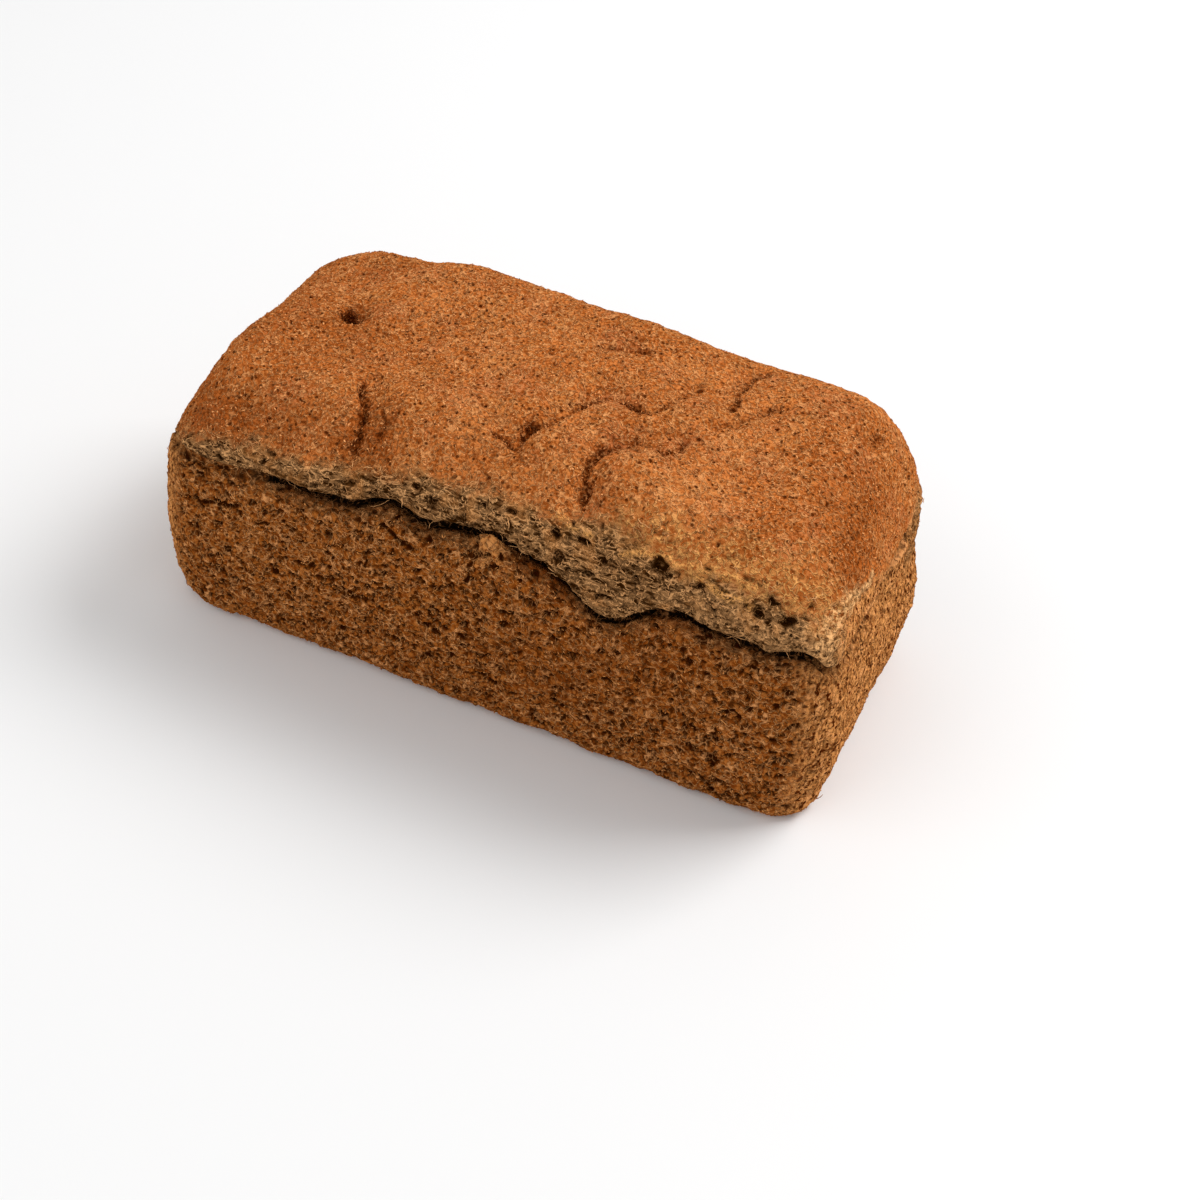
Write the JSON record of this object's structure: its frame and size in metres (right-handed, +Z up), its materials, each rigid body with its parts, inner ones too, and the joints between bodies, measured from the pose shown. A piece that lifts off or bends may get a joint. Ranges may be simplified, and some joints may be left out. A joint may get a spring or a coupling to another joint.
{
  "type": "sourdough bread loaf",
  "caption": "Tin-baked wholegrain sourdough loaf with flat base, upright rounded walls, a folded crown and a long wavy tear under the crust on its front.",
  "frame": {"origin": "middle of the flat underside, at the centre of the loaf's box", "axes": "+X along the loaf, to the right when looking at the torn long side; +Y from the torn long side to the back; +Z up"},
  "size_m": [0.236, 0.112, 0.11],
  "materials": {
    "crust": "matt grainy brown wholegrain crust, paler grey-beige crumb where it tore"
  },
  "bodies": {
    "root": {"loaf": "crust"}
  },
  "joints": []
}
